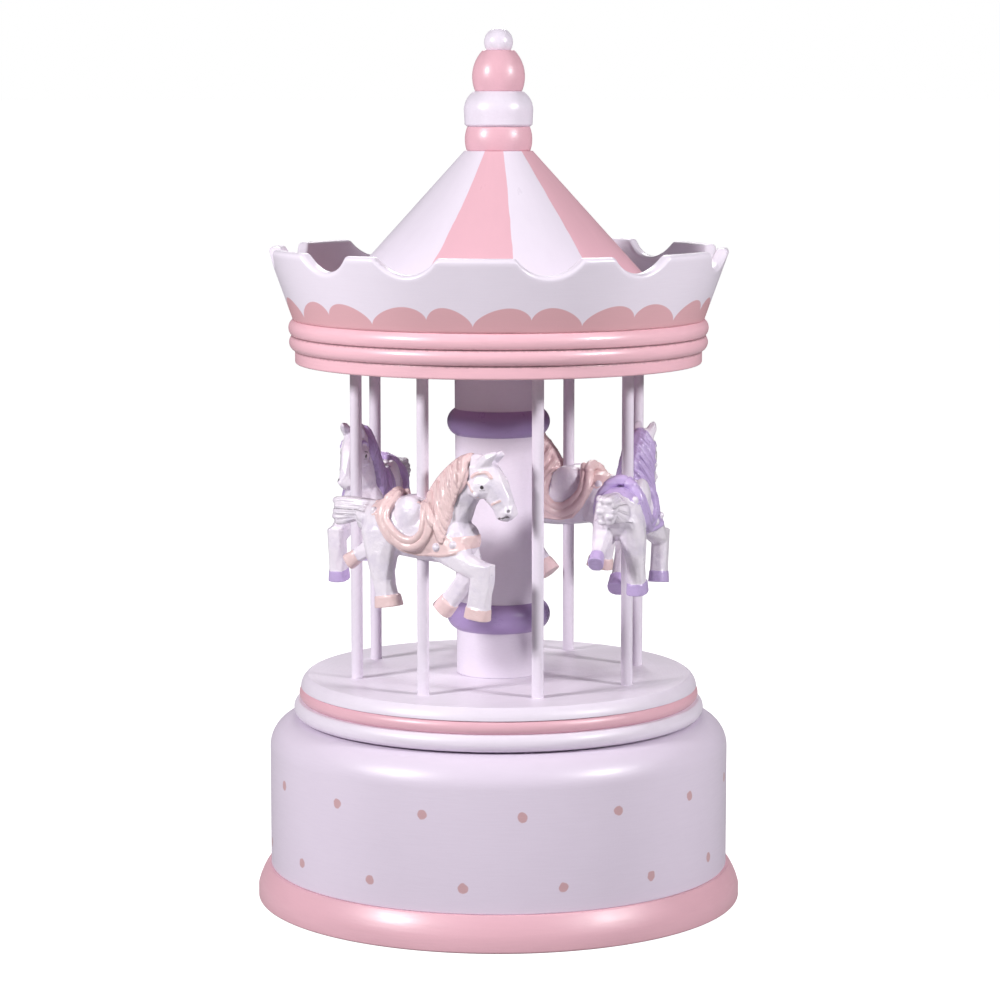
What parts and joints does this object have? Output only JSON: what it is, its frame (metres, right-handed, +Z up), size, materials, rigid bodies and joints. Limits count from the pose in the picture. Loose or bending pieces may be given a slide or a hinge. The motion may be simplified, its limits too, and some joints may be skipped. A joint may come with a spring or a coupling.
{
  "type": "carousel music box",
  "caption": "Painted wooden carousel with horses on poles, on a round drum whose cylinder music movement turns it.",
  "frame": {"origin": "centre of the flat foot, at the table", "axes": "+Z up along the turning axis; -Y towards the viewer"},
  "size_m": [0.1678, 0.1678, 0.3],
  "materials": {
    "base_drum": "satin white paint",
    "base_skirt": "satin pink paint",
    "bottom_cover": "bare plywood",
    "bottom_cover_screws": "bare steel",
    "shaft_bush": "satin",
    "thrust_washer": "bare steel",
    "movement_bedplate": "plated zinc casting",
    "movement_screws": "bare steel",
    "spring_housing": "satin",
    "housing_screws": "bare steel",
    "mainspring": "bare steel",
    "comb": "bare steel",
    "comb_screws": "bare steel",
    "governor_frame": "plated zinc casting",
    "governor_screws": "bare steel",
    "winding_arbor": "bare steel",
    "great_wheel": "satin",
    "platform_lower_disc": "satin white paint",
    "platform_middle_disc": "satin pink paint",
    "platform_top_disc": "satin white paint",
    "column": "satin white paint",
    "pole_1": "satin white paint",
    "pole_2": "satin white paint",
    "pole_3": "satin white paint",
    "pole_4": "satin white paint",
    "pole_5": "satin white paint",
    "pole_6": "satin white paint",
    "pole_7": "satin white paint",
    "pole_8": "satin white paint",
    "horse_1": "satin white paint with peach details",
    "horse_2": "satin white paint with purple details",
    "horse_3": "satin white paint with peach details",
    "horse_4": "satin white paint with purple details",
    "canopy_disc": "satin pink paint",
    "crown": "satin white paint",
    "roof_cone": "satin white paint",
    "finial_dowel": "bare",
    "finial_collar": "satin pink paint",
    "finial_bell": "satin white paint",
    "finial_ball": "satin pink paint",
    "finial_tip": "satin white paint",
    "cylinder_arbor": "bare steel",
    "cylinder_pinion": "satin",
    "cylinder_gear": "satin",
    "note_cylinder": "satin",
    "governor_arbor": "bare steel",
    "governor_pinion": "satin",
    "governor_wheel": "moulded",
    "governor_worm": "bare steel",
    "air_brake": "matt"
  },
  "bodies": {
    "base": {"base_drum": "base_drum", "base_skirt": "base_skirt", "bottom_cover": "bottom_cover", "bottom_cover_screws": "bottom_cover_screws", "shaft_bush": "shaft_bush", "thrust_washer": "thrust_washer", "movement_bedplate": "movement_bedplate", "movement_screws": "movement_screws", "spring_housing": "spring_housing", "housing_screws": "housing_screws", "mainspring": "mainspring", "comb": "comb", "comb_screws": "comb_screws", "governor_frame": "governor_frame", "governor_screws": "governor_screws"},
    "carousel": {"winding_arbor": "winding_arbor", "great_wheel": "great_wheel", "platform_lower_disc": "platform_lower_disc", "platform_middle_disc": "platform_middle_disc", "platform_top_disc": "platform_top_disc", "column": "column", "pole_1": "pole_1", "pole_2": "pole_2", "pole_3": "pole_3", "pole_4": "pole_4", "pole_5": "pole_5", "pole_6": "pole_6", "pole_7": "pole_7", "pole_8": "pole_8", "horse_1": "horse_1", "horse_2": "horse_2", "horse_3": "horse_3", "horse_4": "horse_4", "canopy_disc": "canopy_disc", "crown": "crown", "roof_cone": "roof_cone", "finial_dowel": "finial_dowel", "finial_collar": "finial_collar", "finial_bell": "finial_bell", "finial_ball": "finial_ball", "finial_tip": "finial_tip"},
    "cylinder": {"cylinder_arbor": "cylinder_arbor", "cylinder_pinion": "cylinder_pinion", "cylinder_gear": "cylinder_gear", "note_cylinder": "note_cylinder"},
    "governor": {"governor_arbor": "governor_arbor", "governor_pinion": "governor_pinion", "governor_wheel": "governor_wheel"},
    "fan": {"governor_worm": "governor_worm", "air_brake": "air_brake"}
  },
  "joints": [
    {"name": "carousel_spin", "type": "hinge", "parent": "base", "child": "carousel", "pos_m": [0, 0, 0], "axis": [0, 0, 1], "continuous": true},
    {"name": "cylinder_spin", "type": "hinge", "parent": "base", "child": "cylinder", "pos_m": [0, 0, 0.03], "axis": [1, 0, 0], "continuous": true},
    {"name": "governor_spin", "type": "hinge", "parent": "base", "child": "governor", "pos_m": [0, 0.012, 0.03], "axis": [1, 0, 0], "continuous": true},
    {"name": "fan_spin", "type": "hinge", "parent": "base", "child": "fan", "pos_m": [0.04875, 0.0212, 0], "axis": [0, 0, 1], "continuous": true}
  ],
  "couplings": [
    {"joint": "cylinder_spin", "follows": "carousel_spin", "ratio": -2.5},
    {"joint": "governor_spin", "follows": "carousel_spin", "ratio": 7.5},
    {"joint": "fan_spin", "follows": "carousel_spin", "ratio": -90}
  ]
}
